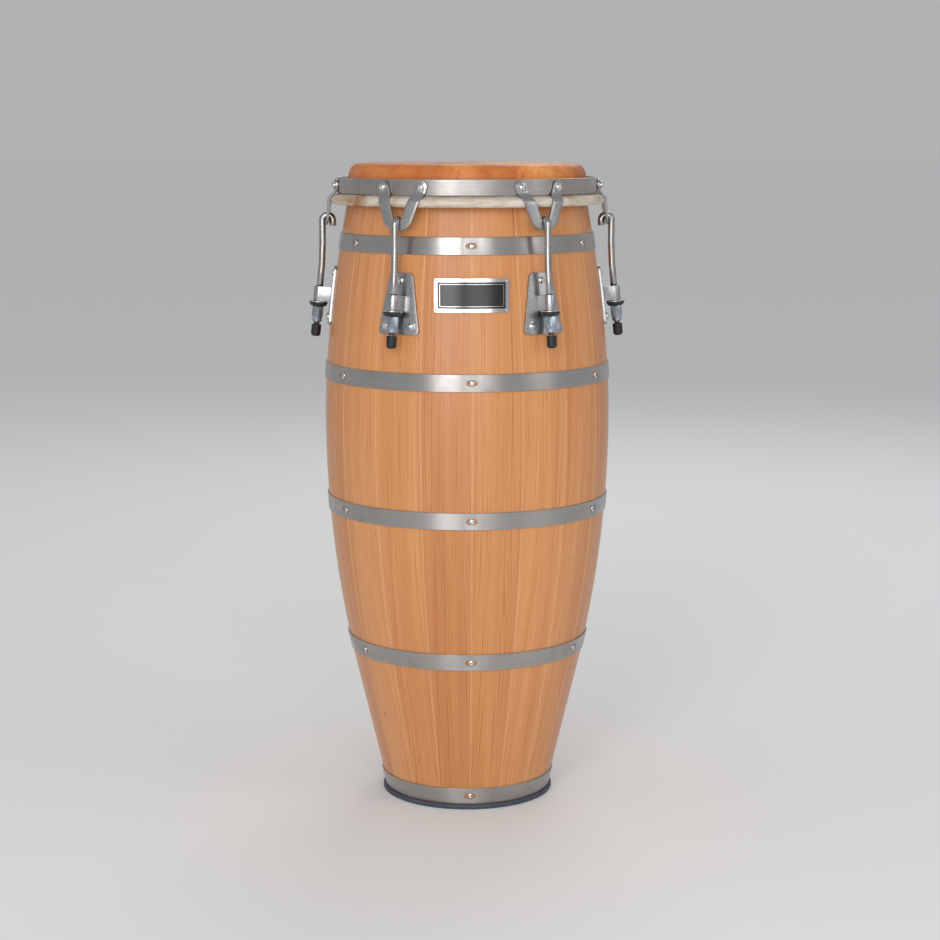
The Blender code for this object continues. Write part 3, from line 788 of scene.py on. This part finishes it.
def band_mesh(name, middle, screws):
    """Steel band with eased edges, and a dimple and slot for each screw."""
    low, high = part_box(name)
    flat = 4 * BAND_EDGE
    heights = [high.z - BAND_EDGE * 0.1, high.z - BAND_EDGE] + evenly(high.z - flat, low.z + flat, 12)
    heights += [low.z + BAND_EDGE, low.z + BAND_EDGE * 0.1]
    rows = []
    for angle in band_angles(screws):
        outer = []
        for k, z in enumerate(heights):
            ease = BAND_EDGE if k in (0, len(heights) - 1) else 0
            lift = GAP + BAND_THICKNESS - ease - dimple(angle, z, middle, screws)
            outer.append(around(shell_radius(z) + lift, angle, z))
        inner = [around(shell_radius(z) + GAP * 0.4, angle, z) for z in (low.z, high.z)]
        rows.append(outer + inner)
    return cut(solid(name, rows, wrap_rows=True), slot_cutter(middle, screws))


def build_bands():
    """Five steel bands and their dome screws."""
    for name, middle in BAND_MIDDLES.items():
        count = FOOT_BAND_SCREWS if name == "band_foot" else BAND_SCREWS
        places = evenly(0, math.tau, count)[:-1]
        mesh = band_mesh(name, middle, places)
        add(f"{name}_hoop", mesh, band_steel, "shell", [name])
        screws = bmesh.new()
        for angle in places:
            add_screw(screws, middle, angle, shell_radius(middle) + 0.0002, BAND_SCREW_HEAD)
        label = name.split("_")[1]
        add(f"band_screws_{label}", finished(screws, "screws", 40), screw_steel, "shell")


def build_foot():
    """Rubber ring under the staves."""
    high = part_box("foot_ring")[1]
    inner = shell_radius(STAVE_BOTTOM) - WALL
    outline = [
        (shell_radius(high.z) + GAP, high.z),
        (high.x, high.z),
        (high.x, 0),
        (inner, 0),
        (inner, PAD_THICKNESS),
        (shell_radius(PAD_THICKNESS) + GAP, PAD_THICKNESS),
    ]
    mesh = turned("foot", rounded(outline, PAD_ROUNDING, 4), 180)
    add("foot_rubber_ring", mesh, foot_rubber, "shell", ["foot_ring"])


# Head and crown


def collar_path(steps):
    """Middle of the skin below the shoulder: the flare, the wrap round the ring, and the tuck."""
    ring = Vector((RING_RADIUS, RING_HEIGHT))
    radius = WRAP_RADIUS - SKIN / 2
    tuck = Vector((CROWN_INNER, CROWN_BOTTOM)) - Vector((1, 1)) * (GAP + SKIN / 2)
    reach = tuck - ring
    wrap_end = math.atan2(reach.y, reach.x) - math.acos(radius / reach.length)
    wrap = [Vector(point) for point in arc(ring, (radius, radius), WRAP_START, wrap_end, steps)]
    start = Vector((SHOULDER_WALL - SKIN / 2, HEAD_HEIGHT - SKIRT_DROP))
    pull = (wrap[0].x - start.x) / 2
    heading = Vector((-math.sin(WRAP_START), math.cos(WRAP_START)))
    handles = (start - Vector((-SKIRT_FLARE, pull)), wrap[0] - heading * pull)
    run = [p.to_2d() for p in interpolate_bezier(start, *handles, wrap[0], steps)]
    top = Vector((tuck.x, CROWN_BOTTOM + TUCK_RISE))
    return run, wrap, rounded_tuck(wrap[-1], tuck, top)


def skin_mesh(run):
    """Playing skin over the rim and down to the flesh ring, slightly uneven on top."""
    centre = (SHOULDER_WALL - SHOULDER_WIDTH, HEAD_HEIGHT - SHOULDER_DROP)
    radii = (SHOULDER_WIDTH - SKIN / 2, SHOULDER_DROP - SKIN / 2)
    middle = arc(centre, radii, math.pi / 2, 0, 16)
    flat = [(radius, middle[0][1]) for radius in evenly(0.0005, middle[0][0] - 0.004, 18)]
    outline = strip_outline(flat + middle[:-1] + [tuple(p) for p in run], SKIN)
    half = len(outline) // 2
    upper, under = sorted((outline[:half], outline[half:]), key=lambda side: -max(z for _, z in side))
    if upper[0][0] > upper[-1][0]:
        upper = upper[::-1]
    if under[0][0] < under[-1][0]:
        under = under[::-1]
    closed = [(0, upper[0][1])] + upper + under + [(0, under[-1][1])]
    mesh = turned("skin", closed, 240, closed=False)
    for vertex in mesh.vertices:
        radius = math.hypot(vertex.co.x, vertex.co.y)
        share = min(1, max(0, (radius - 0.02) / 0.11))
        angle = math.atan2(vertex.co.x, -vertex.co.y)
        ripple = math.sin(angle * 5 + 0.7) * 0.5 + math.sin(angle * 11 + 2.1) * 0.3
        if radius < SHOULDER_WALL - SHOULDER_WIDTH:
            vertex.co.z += 0.00012 * ripple * share - 0.0003 * (1 - share)
    return mesh


def collar_mesh(path):
    """Skin wrapped round the flesh ring and tucked in the hoop, its trimmed edge wavy."""
    mesh = turned("collar", strip_outline([tuple(p) for p in path], SKIN), 240)
    for vertex in mesh.vertices:
        angle = math.atan2(vertex.co.x, -vertex.co.y)
        wave = math.sin(angle * 23) + 0.7 * math.sin(angle * 37 + 1) + 0.5 * math.sin(angle * 61 + 2)
        if vertex.co.z > CROWN_BOTTOM + 0.012:
            vertex.co.z += 0.0006 * wave
        elif vertex.co.z < RING_HEIGHT + 0.003:
            vertex.co.z -= 0.00008 * (wave + 2.2)
    return mesh


def build_head():
    """The skin, which stretches from shell to crown, its collar, and the flesh ring's steel."""
    run, wrap, tuck = collar_path(18)
    skin = add("rawhide_skin", skin_mesh(run), head_look, None, ["head_skin"])
    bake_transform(skin)
    collar = collar_mesh(run[-2:] + wrap[1:] + tuck)
    add("rawhide_collar", collar, collar_look, "crown", ["skin_collar"])
    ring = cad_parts["flesh_ring"].data
    ring.materials.clear()
    ring.materials.append(hook_steel)


def rounded_tuck(leaving, corner, top):
    """Points of the tuck, its bend under the hoop rounded."""
    start = corner + (leaving - corner).normalized() * TUCK_BEND
    end = corner + (top - corner).normalized() * TUCK_BEND
    return corner_curve(start, corner, end, 5) + [top]


def build_crown_hoop():
    """Flat steel hoop with rounded edges."""
    outline = [
        (CROWN_OUTER, CROWN_TOP),
        (CROWN_OUTER, CROWN_BOTTOM),
        (CROWN_INNER, CROWN_BOTTOM),
        (CROWN_INNER, CROWN_TOP),
    ]
    mesh = turned("hoop", rounded(outline, HOOP_ROUNDING, 4), 240)
    add("crown_steel_hoop", mesh, hoop_steel, "crown", ["crown_hoop"])


def bracket_face(height):
    """Radius of the bracket's inner face, its two bends eased."""
    tab = CROWN_OUTER + GAP
    clear = WRAP_RADIUS + GAP
    outer = RING_RADIUS + clear
    fold_low = RING_HEIGHT + clear * math.tan(math.pi / 8)
    fold_high = fold_low + outer - tab

    def plain(z):
        if z >= fold_high:
            return tab
        if z >= fold_low:
            return outer - (z - fold_low)
        return outer + BRACKET_FLARE * (fold_low - z) / (fold_low - BRACKET_BOTTOM)

    spread = [plain(height + d) for d in evenly(-BRACKET_EASE, BRACKET_EASE, 8)]
    return sum(spread) / len(spread) + BRACKET_ROOM


def bracket_sections():
    """Outer and inner edge points of the bracket's right half, from its bar to its tab."""
    centre = Vector((0, BRACKET_BOTTOM + BAR_HEIGHT / 2 + NOTCH_BEND))
    bolt = Vector((BRACKET_SPREAD / 2, BOLT_HEIGHT))
    reach = bolt - centre
    lean = math.atan2(reach.x, reach.y) - math.asin(NOTCH_BEND / reach.length)
    outer = []
    inner = []
    for share in evenly(0, 1, 10):
        angle = share * (math.pi / 2 - lean)
        half = (BAR_HEIGHT + (ARM_WIDTH - BAR_HEIGHT) * share) / 2
        spoke = Vector((math.sin(angle), -math.cos(angle)))
        outer.append(centre + spoke * (NOTCH_BEND + half))
        inner.append(centre + spoke * (NOTCH_BEND - half))
    bottom = max(outer[-1].y, inner[-1].y) + 0.0015
    for height in evenly(bottom, bolt.y, 16)[1:-1]:
        middle = bolt.x - (bolt.y - height) * math.tan(lean)
        half = ARM_WIDTH / 2 / math.cos(lean)
        outer.append(Vector((middle + half, height)))
        inner.append(Vector((middle - half, height)))
    for angle in evenly(0, math.radians(84), 7):
        half = TAB_RADIUS * math.cos(angle)
        height = bolt.y + TAB_RADIUS * math.sin(angle)
        outer.append(Vector((bolt.x + half, height)))
        inner.append(Vector((bolt.x - half, height)))
    return outer, inner


def bracket_mesh():
    """V bracket bent round the flesh ring, with rounded edges."""
    outer, inner = bracket_sections()
    strip = [(-1, k) for k in range(len(outer) - 1, 0, -1)] + [(1, k) for k in range(len(outer))]
    rows = []
    for side, k in strip:
        row = []
        for lift in (0, BRACKET_THICKNESS):
            shares = evenly(0, 1, 4) if lift else evenly(1, 0, 4)
            for share in shares:
                point = outer[k].lerp(inner[k], share)
                radius = bracket_face(point.y) + lift
                row.append(around(radius, side * point.x / radius, point.y))
        rows.append(row)
    return bevelled(solid("bracket", rows, 40), 0.0005)


def build_brackets():
    """Six brackets, each with two dome bolts and washers."""
    mesh = bracket_mesh()
    bolts = bmesh.new()
    spread = BRACKET_SPREAD / 2
    seat = CROWN_OUTER + GAP + BRACKET_THICKNESS + 0.0003
    for across in (-spread, spread):
        add_washer(bolts, BOLT_HEIGHT, seat, across, BOLT_WASHER)
        add_screw(bolts, BOLT_HEIGHT, 0, seat + HEAD_ABOVE_WASHER, BOLT_HEAD, across, 0.0)
        add_washer(bolts, BOLT_HEIGHT, CROWN_INNER - 0.0026, across, BOLT_NUT)
    bolt_mesh = finished(bolts, "bolts", 40)
    for i, angle in enumerate(TUNERS):
        node = f"bracket_{i + 1}"
        add(f"v_bracket_{i + 1}", mesh, fitting_steel, "crown", [node], angle)
        add(f"bracket_bolts_{i + 1}", bolt_mesh, screw_steel, "crown", (), angle)


# Tuning hooks and lugs


def to_lug(radius, height):
    """A point of the front radial plane in the lug's own frame."""
    return LUG_FRAME.inverted() @ Vector((0, -radius, height))


def rod_end():
    """Where the rod ends and its rubber cap begins, in the lug's frame."""
    return -(STRAP_LENGTH / 2 + WASHER_HEIGHT + NUT_HEIGHT + NUT_NOSE + 2 * GAP + NUT_TO_CAP)


def smoothed(points, spacing=0.0025):
    """Points along a smooth curve through the given ones."""
    fine = []
    for i in range(len(points) - 1):
        p0 = points[max(i - 1, 0)]
        p1 = points[i]
        p2 = points[i + 1]
        p3 = points[min(i + 2, len(points) - 1)]
        steps = max(1, round((p2 - p1).length / spacing))
        for step in range(steps):
            t = step / steps
            line = p0 * (-t + 2 * t**2 - t**3) + p1 * (2 - 5 * t**2 + 3 * t**3)
            line += p2 * (t + 4 * t**2 - 3 * t**3) + p3 * (t**3 - t**2)
            fine.append(line / 2)
    return fine + [points[-1]]


def hook_mesh():
    """J hook with a threaded end, in the front radial plane."""
    bar_face = bracket_face(BRACKET_BOTTOM + BAR_HEIGHT / 2) - BRACKET_ROOM
    tip_room = HOOK_PLAY + TUNE_DOWN * math.tan(LUG_LEAN)
    leg_room = HOOK_PLAY + TUNE_UP * math.tan(LUG_LEAN)
    inner_radius = (BRACKET_THICKNESS + tip_room + leg_room) / 2
    middle = bar_face + BRACKET_THICKNESS + leg_room - inner_radius
    bend = inner_radius + HOOK_ROD / 2
    dip = math.sqrt(inner_radius**2 - (inner_radius - HOOK_PLAY) ** 2)
    bend_height = BRACKET_BOTTOM + BAR_HEIGHT + 2 * GAP - dip
    over = arc((middle, bend_height), (bend, bend), math.pi, 0, 24)
    path = [to_lug(middle - bend, bend_height - HOOK_TIP)]
    path += [to_lug(*point) for point in over]
    leg = to_lug(middle + bend, bend_height - HOOK_LEG)
    straight = [leg.lerp(path[-1], share) for share in (0.75, 0.5, 0.25)]
    join = Vector((0, 0, STRAP_LENGTH / 2 + HOOK_LEG))
    lower = [join.lerp(leg, 0.5), join, join - Vector((0, 0, 0.008))]
    path += smoothed(straight + [leg] + lower)
    radii = [HOOK_ROD / 2] * len(path)
    radii[0] = HOOK_ROD / 2 - HOOK_TIP_CHAMFER
    path.insert(1, path[0].lerp(path[1], 0.12))
    radii.insert(1, HOOK_ROD / 2)
    thread_top = STRAP_LENGTH / 2 - 0.002
    path.append(Vector((0, 0, thread_top)))
    radii.append(HOOK_ROD / 2)
    turns = int((thread_top - rod_end()) / (THREAD_PITCH / 2))
    for i in range(1, turns + 1):
        path.append(Vector((0, 0, thread_top - i * THREAD_PITCH / 2)))
        radii.append(HOOK_ROD / 2 - (THREAD_DEPTH if i % 2 else THREAD_CREST))
    return solid("hook", tube_rings(path, radii, Vector((1, 0, 0)), 22), 50, LUG_FRAME)


def cap_mesh():
    """Rubber cap with a soft end and a small collar."""
    end = rod_end()
    radius = CAP_DIAMETER / 2
    soft = (CAP_ROUNDING, CAP_ROUNDING)
    centre = (radius - CAP_ROUNDING, end - CAP_LENGTH + CAP_ROUNDING)
    outline = [(0, end - CAP_LENGTH)] + arc(centre, soft, -math.pi / 2, 0, 6)
    outline += [(radius, end - 0.003), (radius + 0.0002, end - 0.002), (radius, end - 0.0008)]
    outline += [(radius - 0.0006, end - 0.0002), (HOOK_ROD / 2 - 0.0003, end - 0.0002)]
    outline += [(HOOK_ROD / 2 - 0.0004, end - 0.003), (0, end - 0.003)]
    return turned("cap", outline, 32, closed=False, matrix=LUG_FRAME)


def nut_mesh():
    """Hexagonal nut with chamfered corners and a tapered nose."""
    corner = NUT_WIDTH / 2 / math.cos(math.pi / 6)
    top = -(STRAP_LENGTH / 2 + WASHER_HEIGHT + 2 * GAP)
    bottom = top - NUT_HEIGHT
    bore = HOOK_ROD / 2 + GAP / 2
    sides = [(corner * math.cos(a), corner * math.sin(a)) for a in evenly(0, math.tau, 6)[:-1]]
    ends = (top + 0.001, bottom - NUT_NOSE - 0.001)
    prism = solid("prism", [[Vector((*side, z)) for side in sides] for z in ends])
    round_outline = [
        (bore, top),
        (NUT_WIDTH / 2 - 0.0002, top),
        (corner + 0.0001, top - 0.0009),
        (corner + 0.0001, bottom + 0.0010),
        (NUT_WIDTH / 2 + 0.0001, bottom + 0.0001),
        (NUT_WIDTH / 2 - 0.0006, bottom - 0.0012),
        (bore + 0.0016, bottom - NUT_NOSE + 0.0006),
        (bore + 0.0010, bottom - NUT_NOSE),
        (bore, bottom - NUT_NOSE),
    ]
    mesh = bevelled(cut(turned("nut_round", round_outline, 48), prism, "INTERSECT"), 0.00022)
    mesh.transform(LUG_FRAME)
    return mesh


def washer_meshes():
    """Black cup washer and the steel rim on top of it."""
    top = -(STRAP_LENGTH / 2 + GAP)
    bore = HOOK_ROD / 2 + GAP
    low = top - WASHER_HEIGHT
    under = top - WASHER_RIM
    black = [
        (bore, under),
        (WASHER_RADIUS - 0.0002, under),
        (WASHER_RADIUS, top - 0.0026),
        (WASHER_RADIUS - 0.0009, top - 0.0042),
        (WASHER_RADIUS * 0.82, low),
        (bore, low),
    ]
    rim = [(bore, top), (WASHER_RADIUS, top), (WASHER_RADIUS, under), (bore, under)]
    return (
        turned("washer", rounded(black, 0.0007, 3), 48, matrix=LUG_FRAME),
        turned("rim", rounded(rim, 0.0004, 3), 48, matrix=LUG_FRAME),
    )


def strap_mesh():
    """U strap round the rod, with rounded feet on the plate."""
    bore = STRAP_BORE / 2
    outer = bore + STRAP_THICKNESS
    depth = (LUG_STANDOFF - GAP - PLATE_THICKNESS / 2) * math.cos(LUG_LEAN)
    outline = [(-outer - 0.0012, depth), (-outer, depth - 0.0030)]
    outline += arc((0, 0), (outer, outer), math.pi, math.tau, 24)
    outline += [(outer, depth - 0.0030), (outer + 0.0012, depth), (bore, depth)]
    outline += arc((0, 0), (bore, bore), math.tau, math.pi, 24)
    outline += [(-bore, depth)]
    half = STRAP_LENGTH / 2
    rows = [[Vector((x, y, z)) for x, y in outline] for z in (-half, half)]
    return bevelled(solid("strap", rows, 30, LUG_FRAME), 0.0004)


def lug_plate_mesh():
    """Tapered plate curved to the shell, with rounded corners and edges."""
    middle = LUG_HEIGHT + (PLATE_ABOVE - PLATE_BELOW) / 2
    half_height = (PLATE_ABOVE + PLATE_BELOW) / 2
    rows = []
    for share in plate_shares(PLATE_CORNER, half_height, 14, 5):
        width = PLATE_BOTTOM_WIDTH + (PLATE_TOP_WIDTH - PLATE_BOTTOM_WIDTH) * ((share + 1) / 2)
        half = width / 2 - corner_inset(share, PLATE_CORNER, half_height)
        height = middle + share * half_height
        rows.append(plate_row(half, height, GAP * 0.5, GAP + PLATE_THICKNESS, 12))
    return bevelled(solid("plate", rows, 40), 0.0006, 3)


def lug_screws_mesh():
    """Three dome screws of a lug plate, the lower two on washers."""
    bm = bmesh.new()
    top = LUG_HEIGHT + PLATE_ABOVE - LUG_SCREW_BELOW_TOP
    low = LUG_HEIGHT - PLATE_BELOW + LUG_SCREW_ABOVE_BOTTOM
    for across, height in ((0.0, top), (-LUG_SCREW_SPREAD, low), (LUG_SCREW_SPREAD, low)):
        seat = shell_radius(height) + GAP + PLATE_THICKNESS - 0.0001
        lean = shell_lean(height)
        if across:
            add_washer(bm, height, seat, across, LUG_SCREW_WASHER, lean)
            seat += HEAD_ABOVE_WASHER
        add_screw(bm, height, 0, seat, LUG_SCREW_HEAD, across, lean)
    return finished(bm, "lug_screws", 40)


def build_tuners():
    """Six sets of hook, cap, nut, washer, strap, plate and screws."""
    hook = hook_mesh()
    cap = cap_mesh()
    nut = nut_mesh()
    washer, rim = washer_meshes()
    strap = strap_mesh()
    plate = lug_plate_mesh()
    screws = lug_screws_mesh()
    for i, angle in enumerate(TUNERS):
        n = i + 1
        add(f"j_hook_{n}", hook, hook_steel, f"hook_{n}", [f"tuning_hook_{n}"], angle)
        add(f"hook_cap_{n}", cap, black_rubber, f"hook_{n}", (), angle)
        add(f"hex_nut_{n}", nut, zinc, f"nut_{n}", [f"tuning_nut_{n}"], angle)
        add(f"cup_washer_{n}", washer, black_washer, "shell", [f"lug_washer_{n}"], angle)
        add(f"washer_rim_{n}", rim, screw_steel, "shell", (), angle)
        add(f"lug_strap_{n}", strap, fitting_steel, "shell", (), angle)
        add(f"lug_plate_{n}", plate, fitting_steel, "shell", [f"lug_{n}"], angle)
        add(f"lug_screws_{n}", screws, screw_steel, "shell", (), angle)


# Name plate


def panel_mesh(name, inset, corner, low, high):
    """Curved panel on the shell's front, set in from the name plate's edge by an inset."""
    half_width = NAME_WIDTH / 2 - inset
    half_height = NAME_HEIGHT / 2 - inset
    rows = []
    for share in plate_shares(corner, half_height, 10, 4):
        half = half_width - corner_inset(share, corner, half_height)
        rows.append(plate_row(half, NAME_MIDDLE + share * half_height, low, high, 24))
    return solid(name, rows, 40)


def build_name_plate():
    """Polished plate with a bare black panel, an inner line and four pins."""
    top = GAP + NAME_THICKNESS
    line = NAME_BORDER + NAME_LINE_INSET
    body = panel_mesh("plate", 0, 0.0022, GAP * 0.5, top)
    hollow = panel_mesh("hollow", NAME_BORDER, 0.0015, top - 0.0005, top + 0.004)
    add("name_plate_frame", cut(body, hollow), plate_steel, "shell", ["name_plate"])
    inset = panel_mesh("inset", NAME_BORDER + 0.0001, 0.0014, top - 0.0007, top - 0.00025)
    add("name_plate_panel", inset, panel_black, "shell")
    outer = panel_mesh("line", line, 0.0012, top - 0.0005, top - 0.0001)
    inner = panel_mesh("gap", line + NAME_LINE_WIDTH, 0.0009, top - 0.003, top + 0.003)
    add("name_plate_line", cut(outer, inner), plate_steel, "shell")
    pins = bmesh.new()
    for side in (-1, 1):
        for end in (-1, 1):
            height = NAME_MIDDLE + end * (NAME_HEIGHT / 2 - NAME_PIN_DOWN)
            across = side * (NAME_WIDTH / 2 - NAME_PIN_ACROSS)
            seat = shell_radius(height) + top - 0.0002
            add_screw(pins, height, 0, seat, PIN_HEAD, across, sides=16)
    add("name_plate_pins", finished(pins, "pins", 40), screw_steel, "shell")


# Studio


def build_floor():
    """Plain pale floor."""
    bm = bmesh.new()
    bmesh.ops.create_circle(bm, cap_ends=True, segments=64, radius=60)
    mesh = bpy.data.meshes.new("studio_floor")
    bm.to_mesh(mesh)
    bm.free()
    floor = placed("studio_floor", mesh)
    look = Look("floor", 0.8)
    look.set(Base_Color=linear(232, 232, 231), Specular_IOR_Level=0.1)
    mesh.materials.append(look.material)


def build_world():
    """Soft light from all round; camera, gloss and glass see a plain grey wall instead."""
    world = bpy.data.worlds.new("studio")
    world.use_nodes = True
    nodes = Nodes(world.node_tree)
    sky = nodes.tree.nodes["Background"]
    nodes.fill(sky, Color=linear(232, 233, 235), Strength=0.66)
    wall = nodes.node("ShaderNodeBackground")
    nodes.fill(wall, Color=linear(178, 178, 179))
    path = nodes.node("ShaderNodeLightPath")
    seen = path.outputs["Is Camera Ray"]
    for ray in ("Is Glossy Ray", "Is Transmission Ray"):
        seen = nodes.calculate("MAXIMUM", seen, path.outputs[ray])
    choice = nodes.node("ShaderNodeMixShader")
    for output, target in zip((seen, sky.outputs[0], wall.outputs[0]), choice.inputs):
        nodes.link(output, target)
    nodes.link(choice.outputs[0], nodes.tree.nodes["World Output"].inputs["Surface"])
    bpy.context.scene.world = world


def build_lamps():
    """Soft boxes, each with its place, power, width and height."""
    target = Vector((0, 0, 0.42))
    lamps = {
        "key": ((-0.95, -3.0, 1.35), 34, 1.0, 2.3),
        "front": ((0.42, -3.2, 1.35), 20, 1.1, 2.3),
        "side": ((2.5, -1.5, 1.6), 7, 1.0, 1.4),
        "back": ((0.6, 2.4, 2.4), 20, 1.6, 1.6),
    }
    for name, (place, power, width, height) in lamps.items():
        data = bpy.data.lights.new(name, "AREA")
        data.energy = power
        data.shape = "RECTANGLE"
        data.size = width
        data.size_y = height
        lamp = placed(name, data)
        lamp.location = place
        lamp.rotation_euler = (target - Vector(place)).to_track_quat("-Z", "Y").to_euler()
        lamp.visible_camera = False


def build_camera():
    """The photograph's camera."""
    data = bpy.data.cameras.new("camera")
    data.sensor_width = 36
    data.lens = FOCAL_PIXELS / FRAME_PIXELS * data.sensor_width
    data.clip_start = 0.05
    camera = placed("camera", data)
    right = Vector((math.cos(CAMERA_AZIMUTH), math.sin(CAMERA_AZIMUTH), 0))
    camera.location = around(CAMERA_DISTANCE, CAMERA_AZIMUTH, CAMERA_HEIGHT) + right * CAMERA_SIDESTEP
    camera.rotation_euler = (math.pi / 2 - CAMERA_PITCH, 0, CAMERA_AZIMUTH)
    bpy.context.scene.camera = camera
    bpy.context.scene.view_settings.view_transform = "Standard"


build_floor()
build_world()
build_lamps()
build_camera()
build_staves()
build_bands()
build_foot()
build_head()
build_crown_hoop()
build_brackets()
build_tuners()
build_name_plate()
